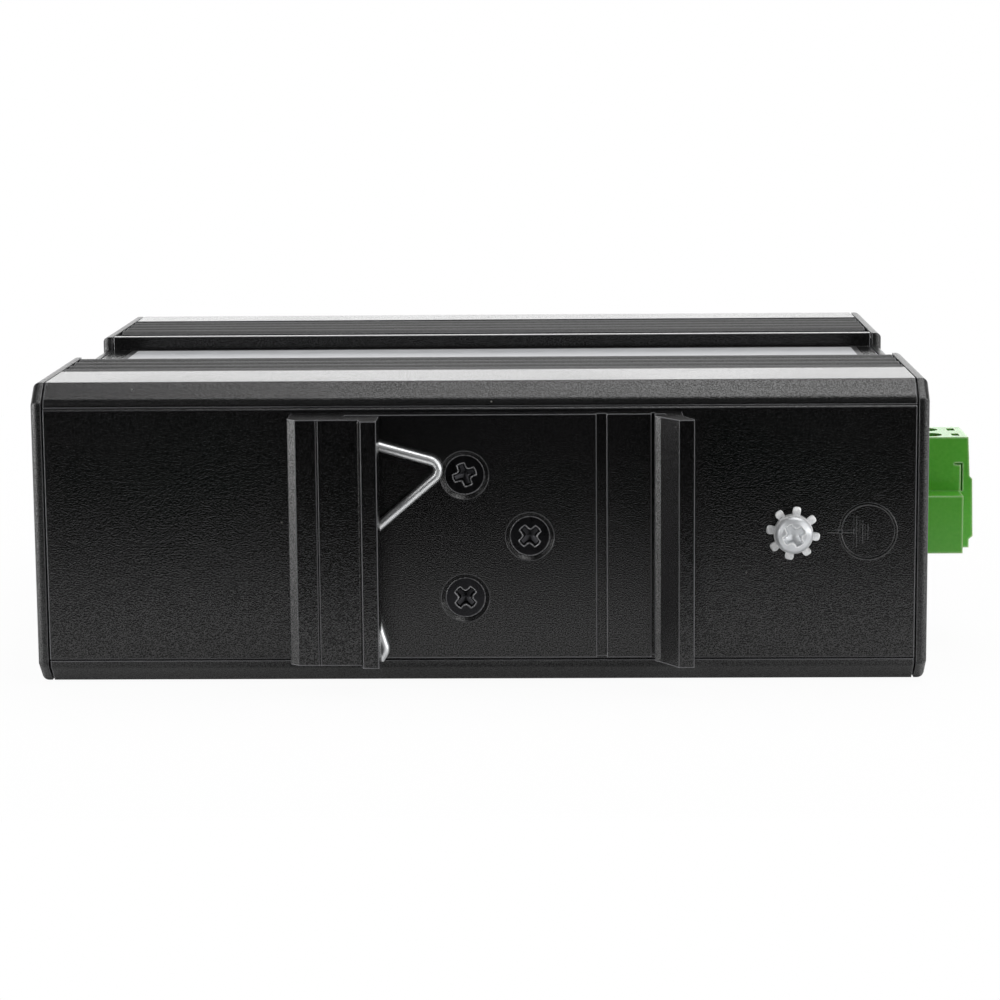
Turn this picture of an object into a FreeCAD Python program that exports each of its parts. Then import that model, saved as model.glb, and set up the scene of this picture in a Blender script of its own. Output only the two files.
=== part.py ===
import FreeCAD, Part
import math
import os
from FreeCAD import Vector

# A five-port industrial ethernet switch for a 35 mm DIN rail, in millimetres.
# The housing lies on one side: +X runs along its length towards the power plug,
# +Y runs from the rail side to the port side, and +Z points up.
# The pieces are drawn in a housing frame whose zero is the middle of the length,
# the face of the rear panel and the table under the lower side.

# ---- driving dimensions ------------------------------------------------------
housing_length = 110.0
housing_depth = 92.0
housing_height = 37.4
mid_z = housing_height / 2

# side extrusions
extrusion_length = 106.8
half_extrusion = extrusion_length / 2
skin_thickness = 1.9
bevel_depth = 2.7
bevel_height = 2.25
bevel_roll_radius = 1.3
lip_height = 0.67
lip_setback = 0.15
lip_thickness = 0.95
recess_depth = 1.9
recess_start = 31.6
recess_end = 58.3
rib_count = 4
rib_drop = 0.42
rib_crest_gap = 0.03
rear_rib_start = 15.6
rear_rib_pitch = 4.0
front_rib_pitch = 3.9
groove_start = 59.7
groove_end = 66.1
groove_depth = 1.1
slot_height = 0.85
slot_width = 1.1
slot_wall = 1.25
boss_radius = 2.9
boss_from_end = 7.0
boss_below_skin = 2.1
boss_neck_width = 3.2

# panels
panel_thickness = 2.0
panel_gap = 0.08
panel_chamfer = 0.2
tongue_thickness = 1.0
tongue_height = 0.85

# end plates
end_plate_slab = 1.35
end_plate_pad = 0.25
pad_inset = 0.8
plate_edge_radius = 0.9

# DIN rail bracket: levels are heights above the rear panel
bracket_height = 30.1
bracket_foot = mid_z - bracket_height / 2
bracket_left = -22.9
bracket_right = 24.82
web_level = 2.05
block_level = 6.6
block_chamfer = 1.0
block_score_x = -19.3
block_score_depth = 0.2
lip_level = 8.4
lip_foot_x = -14.32
lip_crest_x = -13.92
fixed_lip_edge = -12.0
rail_gap_level = 3.4
rail_pocket_end = -16.2
web_groove_start = 14.38
web_groove_end = 15.6
web_groove_level = 1.25
hook_root = 21.05
hook_root_level = 0.7
hook_nose = 21.45
hook_nose_level = 4.55
hook_notch_end = 22.75
hook_notch_level = 3.3
hook_ramp_x = 22.1
hook_ramp_level = 5.1
hook_crest = 24.18
hook_outer = 26.05
hook_level = 8.4
hook_back_level = 7.5
hook_foot_level = 4.6

# spring wire: the corners of its centre line in (x, z), each with the radius of its bend
wire_radius = 0.6
wire_level = (web_level + rail_gap_level) / 2
wire_start = (-19.5, 32.02)
wire_bends = (((-3.55, 27.6), 1.24), ((-15.56, 17.33), 1.2), ((-11.55, 4.83), 1.0))
wire_end = (-12.32, 3.63)
wire_hole_length = 4.67

# screws
m3_radius = 1.5
cross_span = 2.6
cross_width = 0.72
cross_depth = 1.1
flat_head_radius = 2.55
flat_head_sunk = 0.43
bracket_screw_length = 5.6
bracket_screws = ((-1.72, mid_z + 7.6, 20), (6.21, mid_z, 42), (-1.72, mid_z - 7.6, 46))
end_screw_head_radius = 2.95
end_screw_sunk = 0.15
end_screw_length = 9.0
earth_screw_x = 38.4
earth_screw_turn = 32
earth_head_radius = 2.42
earth_head_height = 1.9
earth_screw_length = 5.6
pan_side_share = 0.5
pan_crown_share = 0.66

# lock washer of the earth screw
washer_thickness = 0.5
washer_radius = 2.45
washer_tip_radius = 3.35
washer_tooth_width = 1.1
washer_tooth_twist = 14
washer_tooth_count = 8
washer_first_tooth = 36
washer_bore_radius = 1.6

# label
label_left = -50.5
label_right = 51.3
label_rear_margin = 1.2
label_front_margin = 1.1
label_thickness = 0.1
label_corner = 1.0

# circuit board
board_top = 12.5
board_thickness = 1.6
board_bottom = board_top - board_thickness
board_half_length = 51.5
board_rear = 4.5
board_front = 88.5
pillar_radius = 2.9
pillar_thread_depth = 4.5
pillar_places = [(x, y) for x in (-46.0, 42.0) for y in (13.0, 54.0)]
board_screw_head_radius = 2.6
board_screw_head_height = 1.8
board_screw_length = 5.5

# network jacks
port_count = 5
port_pitch = 17.2
first_port_x = -40.0
jack_width = 16.0
jack_height = 13.4
jack_front = 91.5
jack_depth = 21.3
jack_clearance = 0.25
shield_thickness = 0.3
shield_face_gap = 0.25
mouth_rise = 2.2
mouth_depth = 13.5
mouth_steps = ((5.9, 9.1), (3.1, 10.6), (1.7, 11.9))
pipe_half_width = 1.5
pipe_half_height = 0.95
pipe_offset = 5.7
pipe_rise = 11.3
pipe_depth = 4.0
pipe_gap = 0.1
contact_count = 8
contact_pitch = 1.02
contact_half_width = 0.23
contact_setback = 3.0
contact_slope = 3.5
contact_thickness = 0.35

# parts on the board: places are centres, sizes are width, depth and height
chip_place = (-6.0, 44.0)
chip_size = (14.0, 14.0, 1.6)
chip_leads_a_side = 6
chip_lead_pitch = 2.0
heat_pad_side = 12.0
transformer_y = 64.0
transformer_size = (12.7, 7.0, 5.7)
capacitor_places = ((36.0, 44.0), (36.0, 30.0))
capacitor_radius = 5.0
capacitor_height = 12.0
capacitor_rim = 0.4
inductor_place = (19.0, 30.0)
inductor_size = (12.0, 12.0, 6.0)
inductor_chamfer = 1.8
regulator_place = (19.0, 16.0)
regulator_size = (5.0, 6.2, 1.5)
regulator_leads_a_side = 4
regulator_lead_pitch = 1.27
crystal_place = (-24.0, 44.0)
crystal_size = (4.7, 11.0, 3.6)
crystal_corner = 2.2
package_stand_off = 0.1
package_chamfer = 0.2
lead_width = 0.4
lead_thickness = 0.2
lead_level = 0.9
lead_overlap = 0.3
lead_knee = 0.4
lead_foot = 0.6

# power light
light_x = 45.5
light_z = board_top + 6.7
light_radius = 1.5
light_length = 7.3
light_proud = 0.3
light_tip_chamfer = 0.6
light_hole_gap = 0.1
holder_half_width = 2.4
holder_rear = 80.5
holder_front = 87.0

# power plug and its header: x runs from the board outwards
pole_pitch = 5.08
flange_width = 4.5
plug_near_y = 20.0
plug_far_y = plug_near_y + 2 * flange_width + 2 * pole_pitch
tower_near_y = plug_near_y + flange_width
tower_far_y = plug_far_y - flange_width
plug_mid_y = (plug_near_y + plug_far_y) / 2
pole_ys = (plug_mid_y - pole_pitch / 2, plug_mid_y + pole_pitch / 2)
flange_ys = (plug_near_y + flange_width / 2, plug_far_y - flange_width / 2)
plug_bottom = 12.55
plug_top = 27.1
flange_top = 20.05
flange_reach = 61.8
plug_reach = 63.15
plug_top_reach = 62.92
bulge_low = (63.65, 14.05)
bulge_high = (63.5, 21.6)
bulge_run = 0.4
contact_z = 16.8
flange_screw_z = 16.4
header_back = 44.5
header_mouth = 53.2
header_top = 20.9
header_wall = 1.5
header_floor = 13.4
header_ceiling = 20.1
pin_start = 41.6
pin_end = 51.6
pin_half = 0.5
pin_tail = 1.4
nose_start = 46.6
nose_bottom = 13.7
nose_top = 19.8
nose_gap = 0.4
flange_screw_radius = 1.25
flange_screw_start = 48.5
flange_head_seat = 60.2
flange_head_end = 61.5
plug_head_radius = 1.65
plug_head_gap = 0.05
driver_slot_half = 0.3
driver_slot_depth = 0.6
clamp_x = 58.1
clamp_screw_radius = 1.2
clamp_screw_start = 18.4
clamp_head_seat = 22.4
clamp_head_top = 23.9
cage_start = 56.0
cage_end = 60.2
cage_half = 1.85
cage_bottom = 14.2
cage_top = 19.6
cage_wall = 0.7
cage_well_top = 20.6
wire_mouth_half = 1.7
wire_mouth_bottom = 15.2
wire_mouth_top = 20.2
test_slot_start = 61.0
test_slot_end = 62.0
test_slot_half = 1.1
test_slot_foot = 24.0
socket_half = 0.8
socket_start = 47.2
socket_end = 55.6
socket_bore_end = 52.6
latch_slit_depth = 0.5
latch_slit_width = 0.22
latch_slit_x = 62.2
latch_slit_left = 61.15
latch_slit_z = 23.7
window_gap = 0.3

nodes = {}


# ---- drawing helpers ---------------------------------------------------------
def box(x0, x1, y0, y1, z0, z1):
    """A block from its low and high corners."""
    return Part.makeBox(x1 - x0, y1 - y0, z1 - z0, Vector(x0, y0, z0))


def prism(points, direction):
    """A flat outline of 3-D points, closed and pushed along a direction."""
    corners = [Vector(*p) for p in points]
    return Part.Face(Part.makePolygon(corners + corners[:1])).extrude(direction)


def prism_x(points, x0, x1):
    """An outline in (y, z) pushed along X from x0 to x1."""
    return prism([(x0, y, z) for y, z in points], Vector(x1 - x0, 0, 0))


def prism_y(points, y0, y1):
    """An outline in (x, z) pushed along Y from y0 to y1."""
    return prism([(x, y0, z) for x, z in points], Vector(0, y1 - y0, 0))


def prism_z(points, z0, z1):
    """An outline in (x, y) pushed along Z from z0 to z1."""
    return prism([(x, y, z0) for x, y in points], Vector(0, 0, z1 - z0))


def rod(radius, start, end):
    """A round bar between two points."""
    axis = Vector(*end) - Vector(*start)
    return Part.makeCylinder(radius, axis.Length, Vector(*start), axis)


def bar(x0, x1, y, half, z):
    """A square bar along X, centred at (y, z)."""
    return box(x0, x1, y - half, y + half, z - half, z + half)


def turned(outline):
    """A body of revolution about Z from an outline of (radius, z)."""
    corners = [Vector(r, 0, z) for r, z in outline]
    face = Part.Face(Part.makePolygon(corners + corners[:1]))
    return face.revolve(Vector(0, 0, 0), Vector(0, 0, 1), 360)


def union(shapes):
    """Several overlapping or touching solids as one clean solid."""
    return shapes[0].multiFuse(shapes[1:]).removeSplitter()


def upright_edges(shape):
    """The edges of a block that run along Z."""
    return [e for e in shape.Edges if e.Vertexes[0].Z != e.Vertexes[-1].Z]


def edges_at(shape, axis, value):
    """The edges whose ends all lie at a value on the X, Y or Z axis."""
    near = 0.001
    return [e for e in shape.Edges if all(abs(getattr(v, axis) - value) < near for v in e.Vertexes)]


def facing_rear(shape, x, level, z):
    """Stand a piece drawn along +Z out of the rear panel, its zero at a level."""
    stood = shape.copy()
    stood.rotate(Vector(0, 0, 0), Vector(1, 0, 0), 90)
    stood.translate(Vector(x, -level, z))
    return stood


def facing_end(shape, x, y, z, outward):
    """Lay a piece drawn along +Z along +X (outward 1) or -X (outward -1)."""
    laid = shape.copy()
    laid.rotate(Vector(0, 0, 0), Vector(0, 1, 0), 90 * outward)
    laid.translate(Vector(x, y, z))
    return laid


# ---- screws ------------------------------------------------------------------
def cross_recess(turn):
    """The cross for a Phillips driver: two crossed slots with their mouth at z = 0."""
    half_span = cross_span / 2
    half_width = cross_width / 2
    slot = box(-half_span, half_span, -half_width, half_width, -cross_depth, cross_depth)
    slot.rotate(Vector(0, 0, 0), Vector(0, 0, 1), turn)
    crossing = slot.copy()
    crossing.rotate(Vector(0, 0, 0), Vector(0, 0, 1), 90)
    return slot.fuse(crossing)


def flat_head_screw(head_radius, sunk, length, turn):
    """A 90 degree countersunk M3 screw pointing down -Z, its face a little below z = 0."""
    neck = -sunk - head_radius + m3_radius
    tip = -sunk - length
    body = turned([(0, -sunk), (head_radius, -sunk), (m3_radius, neck), (m3_radius, tip), (0, tip)])
    recess = cross_recess(turn)
    recess.translate(Vector(0, 0, -sunk))
    return body.cut(recess)


def countersink(head_radius, sunk, depth):
    """The hole for a flat-head screw: a 90 degree cone that the head seats in, then a round hole."""
    mouth = head_radius + sunk
    neck = m3_radius - mouth
    return turned([(0, 0), (mouth, 0), (m3_radius, neck), (m3_radius, -depth), (0, -depth)])


def pan_head_screw(head_radius, head_height, length, turn):
    """A pan-head M3 screw pointing down -Z, the underside of its head at z = 0."""
    side = pan_side_share * head_height
    crown = pan_crown_share * head_radius
    body = turned([
        (0, head_height), (crown, head_height), (head_radius, side), (head_radius, 0),
        (m3_radius, 0), (m3_radius, -length), (0, -length),
    ])
    recess = cross_recess(turn)
    recess.translate(Vector(0, 0, head_height))
    return body.cut(recess)


# ---- side extrusions ---------------------------------------------------------
top = housing_height
recess_floor = top - recess_depth
ceiling = recess_floor - skin_thickness
bevel_foot = top - bevel_height
lip_foot = bevel_foot - lip_height
rib_valley = top - rib_drop
groove_floor = top - groove_depth
boss_z = ceiling - boss_below_skin


def rib_edges(y_start, pitch):
    """A row of rounded ribs: equal arcs from valley to valley."""
    crest = top - rib_crest_gap
    edges = []
    for i in range(rib_count):
        y = y_start + i * pitch
        points = ((y, rib_valley), (y + pitch / 2, crest), (y + pitch, rib_valley))
        edges.append(Part.Arc(*[Vector(0, *p) for p in points]).toShape())
    return edges


def line_edges(points):
    """Straight edges through (y, z) points."""
    corners = [Vector(0, y, z) for y, z in points]
    return [Part.makeLine(a, b) for a, b in zip(corners, corners[1:])]


def roll_edge(foot_y, inward):
    """The arc that rolls a bevel into its upright lip. It gives the arc and its end on the bevel."""
    slope = math.atan2(bevel_height, bevel_depth - lip_setback)
    turn = math.pi / 2 - slope
    reach = bevel_roll_radius * math.tan(turn / 2)
    low = Vector(0, foot_y, bevel_foot - reach)
    high = Vector(0, foot_y + inward * reach * math.cos(slope), bevel_foot + reach * math.sin(slope))
    centre = low + Vector(0, inward * bevel_roll_radius, 0)
    middle = centre + ((low + high) * 0.5 - centre).normalize() * bevel_roll_radius
    return Part.Arc(low, middle, high).toShape(), (low.y, low.z), (high.y, high.z)


def make_upper_extrusion():
    """The upper side: one profile with a bevel, ribs, a label recess, panel slots and screw channels."""
    slot_top = lip_foot + slot_height
    slot_end = lip_thickness + slot_width
    wall_end = slot_end + slot_wall
    front = housing_depth
    rear_rib_end = rear_rib_start + rib_count * rear_rib_pitch
    front_rib_end = groove_end + rib_count * front_rib_pitch
    front_lip = front - lip_setback
    rear_roll, rear_low, rear_high = roll_edge(lip_setback, 1)
    front_roll, front_low, front_high = roll_edge(front_lip, -1)
    edges = line_edges([(lip_setback, lip_foot), rear_low]) + [rear_roll]
    edges += line_edges([
        rear_high, (bevel_depth, top), (rear_rib_start, top), (rear_rib_start, rib_valley),
    ])
    edges += rib_edges(rear_rib_start, rear_rib_pitch)
    edges += line_edges([
        (rear_rib_end, rib_valley), (recess_start, recess_floor), (recess_end, recess_floor),
        (recess_end, top), (groove_start, top), (groove_start, groove_floor), (groove_end, groove_floor),
        (groove_end, rib_valley),
    ])
    edges += rib_edges(groove_end, front_rib_pitch)
    edges += line_edges([
        (front_rib_end, rib_valley), (front_rib_end, top), (front - bevel_depth, top), front_high,
    ])
    edges += [front_roll]
    edges += line_edges([
        front_low, (front_lip, lip_foot), (front - lip_thickness, lip_foot),
        (front - lip_thickness, slot_top), (front - slot_end, slot_top), (front - slot_end, ceiling),
        (front - wall_end, ceiling),
        (wall_end, ceiling), (slot_end, ceiling), (slot_end, slot_top), (lip_thickness, slot_top),
        (lip_thickness, lip_foot), (lip_setback, lip_foot),
    ])
    face = Part.Face(Part.Wire(edges))
    face.translate(Vector(-half_extrusion, 0, 0))
    body = face.extrude(Vector(extrusion_length, 0, 0))
    screw_ys = (boss_from_end, front - boss_from_end)
    half_neck = boss_neck_width / 2
    for y in screw_ys:
        neck = box(-half_extrusion, half_extrusion, y - half_neck, y + half_neck, boss_z, ceiling)
        boss = rod(boss_radius, (-half_extrusion, y, boss_z), (half_extrusion, y, boss_z))
        body = body.fuse([neck, boss])
    body = body.removeSplitter()
    for y in screw_ys:
        body = body.cut(rod(m3_radius, (-half_extrusion, y, boss_z), (half_extrusion, y, boss_z)))
    return body


# ---- panels ------------------------------------------------------------------
def make_panel(face_y, inward):
    """A plate a little proud of the lips, with a thin tongue on each long edge for the side's slot."""
    high = lip_foot - panel_gap
    low = housing_height - high
    back = face_y + inward * panel_thickness
    step = face_y + inward * (panel_thickness - tongue_thickness)
    chamfer_y = face_y + inward * panel_chamfer
    outline = [
        (chamfer_y, low), (face_y, low + panel_chamfer), (face_y, high - panel_chamfer), (chamfer_y, high),
        (step, high), (step, high + tongue_height), (back, high + tongue_height),
        (back, low - tongue_height), (step, low - tongue_height), (step, low),
    ]
    return prism_x(outline, -half_extrusion, half_extrusion)


def make_rear_panel():
    """The rear plate, drilled for the bracket's screws and the earth screw."""
    plate = make_panel(0, 1)
    holes = [(x, z) for x, z, turn in bracket_screws] + [(earth_screw_x, mid_z)]
    for x, z in holes:
        plate = plate.cut(rod(m3_radius, (x, 0, z), (x, panel_thickness, z)))
    return plate


def port_centres():
    """Where the jacks stand along X."""
    return [first_port_x + i * port_pitch for i in range(port_count)]


def make_front_panel():
    """The port side's plate, with a window for each jack and a hole for the power light."""
    plate = make_panel(housing_depth, -1)
    back = housing_depth - panel_thickness
    side = jack_width / 2 + jack_clearance
    low = board_top - jack_clearance
    high = board_top + jack_height + jack_clearance
    for x in port_centres():
        plate = plate.cut(box(x - side, x + side, back, housing_depth, low, high))
    hole_radius = light_radius + light_hole_gap
    return plate.cut(rod(hole_radius, (light_x, back, light_z), (light_x, housing_depth, light_z)))


# ---- end plates --------------------------------------------------------------
def end_outline(inset):
    """The housing's outline in (y, z), drawn in by an inset all round."""
    high = housing_height - inset
    notch = recess_floor - inset
    corner = inset * bevel_height / (bevel_depth + bevel_height)
    front = housing_depth - inset
    upper = [
        (inset, bevel_foot - corner), (bevel_depth + corner, high),
        (recess_start - inset, high), (recess_start - inset, notch),
        (recess_end + inset, notch), (recess_end + inset, high),
        (housing_depth - bevel_depth - corner, high), (front, bevel_foot - corner),
    ]
    lower = [(y, housing_height - z) for y, z in reversed(upper)]
    return upper + lower


def end_screw_places():
    """Where the four screws of an end plate stand, as (y, z, turn of the cross)."""
    places = []
    for y in (boss_from_end, housing_depth - boss_from_end):
        for z in (boss_z, housing_height - boss_z):
            places.append((y, z, y + z))
    return places


def make_end_plate(outward):
    """An end plate with a rounded rim, a locating pad behind it and four countersunk holes."""
    inner = outward * half_extrusion
    pad_face = inner + outward * end_plate_pad
    outer = pad_face + outward * end_plate_slab
    slab = prism_x(end_outline(0), pad_face, outer)
    slab = slab.makeFillet(plate_edge_radius, edges_at(slab, "X", outer))
    plate = slab.fuse(prism_x(end_outline(pad_inset), inner, pad_face)).removeSplitter()
    hole = countersink(end_screw_head_radius, end_screw_sunk, end_screw_length)
    for y, z, turn in end_screw_places():
        plate = plate.cut(facing_end(hole, outer, y, z, outward))
    return plate


def make_end_screws(outward):
    """The four flat-head screws of an end plate, which cut their threads in the screw channels."""
    outer = outward * (half_extrusion + end_plate_pad + end_plate_slab)
    screws = []
    for y, z, turn in end_screw_places():
        screw = flat_head_screw(end_screw_head_radius, end_screw_sunk, end_screw_length, turn)
        screws.append(facing_end(screw, outer, y, z, outward))
    return screws


# ---- DIN rail bracket --------------------------------------------------------
def make_bracket_blank():
    """The bracket's drawn section: a fixed lip on the left, a web, and a ramped hook on the right."""
    score = block_score_depth / 2
    section = [
        (bracket_left, 0), (bracket_left, block_level - block_chamfer),
        (bracket_left + block_chamfer, block_level),
        (block_score_x - score, block_level), (block_score_x, block_level - block_score_depth),
        (block_score_x + score, block_level), (lip_foot_x, block_level), (lip_crest_x, lip_level),
        (fixed_lip_edge, lip_level), (fixed_lip_edge, rail_gap_level), (rail_pocket_end, rail_gap_level),
        (rail_pocket_end, web_level), (web_groove_start, web_level), (web_groove_start, web_groove_level),
        (web_groove_end, web_groove_level), (web_groove_end, web_level), (hook_root, web_level),
        (hook_root, hook_root_level), (hook_nose, hook_root_level), (hook_nose, web_level),
        (hook_notch_end, web_level), (hook_notch_end, hook_notch_level), (hook_nose, hook_notch_level),
        (hook_nose, hook_nose_level), (hook_ramp_x, hook_ramp_level), (hook_crest, hook_level),
        (hook_outer, hook_level), (hook_outer, hook_back_level), (bracket_right, hook_foot_level),
        (bracket_right, 0),
    ]
    return prism([(x, -level, bracket_foot) for x, level in section], Vector(0, 0, bracket_height))


def wire_point(place):
    """A point of the wire's centre line from its (x, z)."""
    return Vector(place[0], -wire_level, place[1])


def make_spring_wire():
    """Hard steel wire bent in one plane: a leg in the block, a long loop, a kink and a short bulge."""
    places = [wire_start] + [place for place, radius in wire_bends] + [wire_end]
    corners = [wire_point(place) for place in places]
    edges = []
    start = corners[0]
    for before, corner, after, (place, radius) in zip(corners, corners[1:], corners[2:], wire_bends):
        back = (before - corner).normalize()
        ahead = (after - corner).normalize()
        half = back.getAngle(ahead) / 2
        reach = radius / math.tan(half)
        entry = corner + back * reach
        leave = corner + ahead * reach
        crown = corner + (back + ahead).normalize() * (radius / math.sin(half) - radius)
        edges.append(Part.makeLine(start, entry))
        edges.append(Part.Arc(entry, crown, leave).toShape())
        start = leave
    edges.append(Part.makeLine(start, corners[-1]))
    section = Part.Wire(Part.makeCircle(wire_radius, corners[0], corners[1] - corners[0]))
    return Part.Wire(edges).makePipeShell([section], True, True)


def make_bracket():
    """The bracket with its three countersunk holes and the slanting hole that holds the wire's leg."""
    bracket = make_bracket_blank()
    hole = countersink(flat_head_radius, flat_head_sunk, web_level)
    for x, z, turn in bracket_screws:
        bracket = bracket.cut(facing_rear(hole, x, web_level, z))
    hole_end = wire_point(wire_start)
    along = (wire_point(wire_bends[0][0]) - hole_end).normalize()
    return bracket.cut(rod(wire_radius, hole_end, hole_end + along * wire_hole_length))


def make_bracket_screws():
    """Three flat-head screws, each a little below the web's face."""
    screws = []
    for x, z, turn in bracket_screws:
        screw = flat_head_screw(flat_head_radius, flat_head_sunk, bracket_screw_length, turn)
        screws.append(facing_rear(screw, x, web_level, z))
    return screws


# ---- earth screw -------------------------------------------------------------
def make_washer():
    """An external-tooth lock washer: a ring with eight teeth twisted about their own length."""
    half_tooth = washer_tooth_width / 2
    tooth_root = (washer_bore_radius + washer_radius) / 2
    ring = Part.makeCylinder(washer_radius, washer_thickness)
    teeth = []
    for i in range(washer_tooth_count):
        tooth = box(tooth_root, washer_tip_radius, -half_tooth, half_tooth, 0, washer_thickness)
        tooth.rotate(Vector(0, 0, washer_thickness / 2), Vector(1, 0, 0), washer_tooth_twist)
        tooth.rotate(Vector(0, 0, 0), Vector(0, 0, 1), washer_first_tooth + i * 360 / washer_tooth_count)
        teeth.append(tooth)
    ring = union([ring] + teeth)
    bore = rod(washer_bore_radius, (0, 0, -half_tooth), (0, 0, 2 * half_tooth))
    panel_side = rod(washer_tip_radius * 2, (0, 0, -half_tooth), (0, 0, 0))
    head_side = rod(earth_head_radius, (0, 0, washer_thickness), (0, 0, 2 * half_tooth))
    return ring.cut(bore).cut(panel_side).cut(head_side)


# ---- label -------------------------------------------------------------------
def make_label():
    """A bare type label stuck in the upper recess."""
    rear = recess_start + label_rear_margin
    front = recess_end - label_front_margin
    label = box(label_left, label_right, rear, front, recess_floor, recess_floor + label_thickness)
    return label.makeFillet(label_corner, upright_edges(label))


# ---- circuit board -----------------------------------------------------------
def make_header_pins():
    """Two square pins, bent down through the board."""
    pins = []
    for y in pole_ys:
        level_leg = bar(pin_start, pin_end, y, pin_half, contact_z)
        foot = board_bottom - pin_tail
        down_leg = box(pin_start, pin_start + 2 * pin_half, y - pin_half, y + pin_half, foot, contact_z)
        pins.append(union([level_leg, down_leg]))
    return pins


def make_board(pins):
    """The main circuit board, drilled for its four screws and the header's pins."""
    board = box(-board_half_length, board_half_length, board_rear, board_front, board_bottom, board_top)
    for x, y in pillar_places:
        board = board.cut(rod(m3_radius, (x, y, board_bottom), (x, y, board_top)))
    for pin in pins:
        board = board.cut(pin)
    return board


def make_pillars():
    """Hexagonal pillars pressed into the lower side's floor, tapped from above."""
    floor = housing_height - ceiling
    pillars = []
    for x, y in pillar_places:
        angles = [math.radians(60 * k) for k in range(6)]
        corners = [(x + pillar_radius * math.cos(a), y + pillar_radius * math.sin(a)) for a in angles]
        pillar = prism_z(corners, floor, board_bottom)
        thread = rod(m3_radius, (x, y, board_bottom - pillar_thread_depth), (x, y, board_bottom))
        pillars.append(pillar.cut(thread))
    return pillars


def make_board_screws():
    """Four cheese-head screws that hold the board to its pillars."""
    high = board_screw_head_height
    tip = -board_screw_length
    outline = [
        (0, high), (board_screw_head_radius, high), (board_screw_head_radius, 0),
        (m3_radius, 0), (m3_radius, tip), (0, tip),
    ]
    screws = []
    for x, y in pillar_places:
        screw = turned(outline)
        screw.translate(Vector(x, y, board_top))
        screws.append(screw)
    return screws


# ---- network jacks -----------------------------------------------------------
def jack_mouth(x, grow):
    """The jack's mouth in (x, z), grown all round: the plug's body with its latch's two steps above."""
    low = board_top + mouth_rise - grow
    right = []
    for half, rise in mouth_steps:
        right.append((half + grow, low))
        low = board_top + rise + grow
        right.append((half + grow, low))
    left = [(-half, z) for half, z in reversed(right)]
    return [(x + half, z) for half, z in right + left]


def pipe_block(x, side, grow, rear, front):
    """The block taken up by one light pipe in the jack's face, grown all round."""
    centre = x + side * pipe_offset
    half = pipe_half_width + grow
    z = board_top + pipe_rise
    rise = pipe_half_height + grow
    return box(centre - half, centre + half, rear, front, z - rise, z + rise)


def make_jack_shield(x):
    """A tin-plated steel shell folded round the jack, open at the mouth and underneath."""
    half = jack_width / 2
    wall = shield_thickness
    high = board_top + jack_height
    back = jack_front - jack_depth
    outer = box(x - half, x + half, back, jack_front, board_top, high)
    inner = box(x - half + wall, x + half - wall, back + wall, jack_front - wall, board_top, high - wall)
    shield = outer.cut(inner).cut(prism_y(jack_mouth(x, shield_face_gap), jack_front - wall, jack_front))
    for side in (-1, 1):
        shield = shield.cut(pipe_block(x, side, pipe_gap, jack_front - wall, jack_front))
    return shield


def make_jack_insert(x):
    """The black moulding inside the shield, with the mouth and two pockets for the light pipes."""
    half = jack_width / 2 - shield_thickness
    front = jack_front - shield_thickness
    back = jack_front - jack_depth + shield_thickness
    body = box(x - half, x + half, back, front, board_top, board_top + jack_height - shield_thickness)
    body = body.cut(prism_y(jack_mouth(x, 0), front - mouth_depth, front))
    for side in (-1, 1):
        body = body.cut(pipe_block(x, side, 0, front - pipe_depth, front))
    return body


def make_light_pipes():
    """Two small clear light pipes in the face of each jack."""
    rear = jack_front - shield_thickness - pipe_depth
    return [pipe_block(x, side, 0, rear, jack_front) for x in port_centres() for side in (-1, 1)]


def make_jack_contacts(x):
    """Eight gold-plated spring wires that slope up into the mouth from its lower front edge."""
    low = board_top + mouth_rise
    high = low + contact_slope
    start = jack_front - shield_thickness - contact_setback
    end = jack_front - shield_thickness - mouth_depth
    thick = contact_thickness
    profile = [
        (start, low), (start - thick, low), (end, high), (end, high + thick), (end + thick, high + thick),
    ]
    contacts = []
    for i in range(contact_count):
        centre = x + (i - (contact_count - 1) / 2) * contact_pitch
        contacts.append(prism_x(profile, centre - contact_half_width, centre + contact_half_width))
    return contacts


# ---- parts on the board ------------------------------------------------------
def package(place, size, rise=0.0):
    """A block centred at a place on the board's upper face."""
    x, y = place
    width, depth, height = size
    z = board_top + rise
    return box(x - width / 2, x + width / 2, y - depth / 2, y + depth / 2, z, z + height)


def moulded_package(place, size):
    """An epoxy package that stands just off the board, with a chamfer round its top."""
    body = package(place, size, package_stand_off)
    return body.makeChamfer(package_chamfer, edges_at(body, "Z", body.BoundBox.ZMax))


def lead_row(place, half_span, count, pitch, quarter_turn):
    """Bent leads on two opposite sides of a package: out, down and flat on the board."""
    root = half_span - lead_overlap
    knee = half_span + lead_knee
    toe = knee + lead_foot
    section = [
        (root, lead_level), (half_span, lead_level), (knee, lead_thickness), (toe, lead_thickness),
        (toe, 0), (knee - lead_thickness, 0), (root, lead_level - lead_thickness),
    ]
    leads = []
    for i in range(count):
        y = (i - (count - 1) / 2) * pitch - lead_width / 2
        for side in (-1, 1):
            lead = prism([(side * a, y, b) for a, b in section], Vector(0, lead_width, 0))
            lead.rotate(Vector(0, 0, 0), Vector(0, 0, 1), 90 * quarter_turn)
            lead.translate(Vector(*place, board_top))
            leads.append(lead)
    return leads


def make_switch_chip():
    """The switch controller: a flat square package with leads on four sides."""
    half = chip_size[0] / 2
    leads = []
    for quarter_turn in (0, 1):
        leads += lead_row(chip_place, half, chip_leads_a_side, chip_lead_pitch, quarter_turn)
    return union([moulded_package(chip_place, chip_size)] + leads)


def make_regulator():
    """The buck regulator beside the inductor."""
    half = regulator_size[0] / 2
    leads = lead_row(regulator_place, half, regulator_leads_a_side, regulator_lead_pitch, 0)
    return union([moulded_package(regulator_place, regulator_size)] + leads)


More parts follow.
